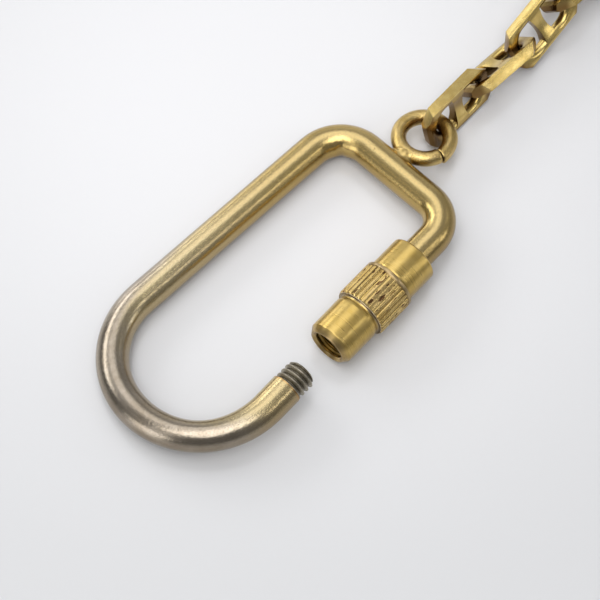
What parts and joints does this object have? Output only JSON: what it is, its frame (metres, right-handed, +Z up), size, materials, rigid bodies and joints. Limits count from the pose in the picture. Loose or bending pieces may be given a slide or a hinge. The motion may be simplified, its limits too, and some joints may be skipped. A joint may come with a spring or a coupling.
{
  "type": "screw-lock key holder",
  "caption": "Key holder: an oblong wire ring closed by a sliding, knurled screw barrel, with an eye loop that carries a chain of studded anchor links and an end ring.",
  "frame": {"origin": "middle of the footprint, on the table that the key holder lies on", "axes": "+X along the barrel from the screw thread to the chain, +Y towards the ring's long side, +Z up from the table"},
  "size_m": [0.129, 0.0264, 0.0071],
  "materials": {
    "plated_wire": "satin brass plating, worn to grey on the bow",
    "brass_inside": "turned, plain",
    "turned_brass": "turned and polished, straight knurl",
    "loop_wire": "polished, rubbed",
    "solder": "smooth solder",
    "link_brass": "polished flanks, brown in the hollows"
  },
  "bodies": {
    "ring": {"ring_wire": "plated_wire", "stop_collar": "brass_inside", "eye_loop": "loop_wire", "solder_joint": "solder"},
    "bush": {"barrel_bush": "brass_inside"},
    "barrel": {"barrel": "turned_brass"},
    "link_1": {"chain_link_1": "link_brass"},
    "link_2": {"chain_link_2": "link_brass"},
    "link_3": {"chain_link_3": "link_brass"},
    "link_4": {"chain_link_4": "link_brass"},
    "link_5": {"chain_link_5": "link_brass"},
    "link_6": {"chain_link_6": "link_brass"},
    "link_7": {"chain_link_7": "link_brass"},
    "link_8": {"chain_link_8": "link_brass"},
    "link_9": {"chain_link_9": "link_brass"},
    "end_ring": {"end_ring": "loop_wire"}
  },
  "joints": [
    {"name": "barrel_slide", "type": "slide", "parent": "ring", "child": "bush", "axis": [-1, 0, 0], "range_m": [0, 0.00705]},
    {"name": "barrel_turn", "type": "hinge", "parent": "bush", "child": "barrel", "pos_m": [-0.04196, -0.00976, 0.00343], "axis": [1, 0, 0], "continuous": true},
    {"name": "hook_1", "type": "hinge", "parent": "ring", "child": "link_1", "pos_m": [-0.00976, 0.00009, 0.00242], "axis": [0, 0.9977, -0.0679], "range_deg": [-40, 40]},
    {"name": "hook_2", "type": "hinge", "parent": "link_1", "child": "link_2", "pos_m": [-0.00211, 0.00009, 0.00293], "axis": [0, 0.2756, 0.9613], "range_deg": [-30, 12]},
    {"name": "hook_3", "type": "hinge", "parent": "link_2", "child": "link_3", "pos_m": [0.00567, -0.00045, 0.00262], "axis": [0.0467, 0.6675, -0.7431], "range_deg": [-30, 30]},
    {"name": "hook_4", "type": "hinge", "parent": "link_3", "child": "link_4", "pos_m": [0.01329, -0.00012, 0.00452], "axis": [-0.1921, 0.594, 0.7812], "range_deg": [-30, 30]},
    {"name": "hook_5", "type": "hinge", "parent": "link_4", "child": "link_5", "pos_m": [0.02095, -0.00039, 0.00238], "axis": [-0.1129, 0.699, -0.7061], "range_deg": [-30, 30]},
    {"name": "hook_6", "type": "hinge", "parent": "link_5", "child": "link_6", "pos_m": [0.02859, -0.00012, 0.00282], "axis": [-0.018, 0.5147, 0.8572], "range_deg": [-30, 30]},
    {"name": "hook_7", "type": "hinge", "parent": "link_6", "child": "link_7", "pos_m": [0.03638, -0.00053, 0.00257], "axis": [0.0364, 0.6937, -0.7193], "range_deg": [-30, 30]},
    {"name": "hook_8", "type": "hinge", "parent": "link_7", "child": "link_8", "pos_m": [0.04387, -0.00014, 0.00281], "axis": [-0.0277, 0.5292, 0.848], "range_deg": [-30, 30]},
    {"name": "hook_9", "type": "hinge", "parent": "link_8", "child": "link_9", "pos_m": [0.05152, -0.00027, 0.00257], "axis": [0.0121, 0.6946, -0.7193], "range_deg": [-30, 30]},
    {"name": "hook_10", "type": "hinge", "parent": "link_9", "child": "end_ring", "pos_m": [0.05931, 0, 0.00285], "axis": [-0.0169, 0.4845, 0.8746], "range_deg": [-30, 30]}
  ]
}
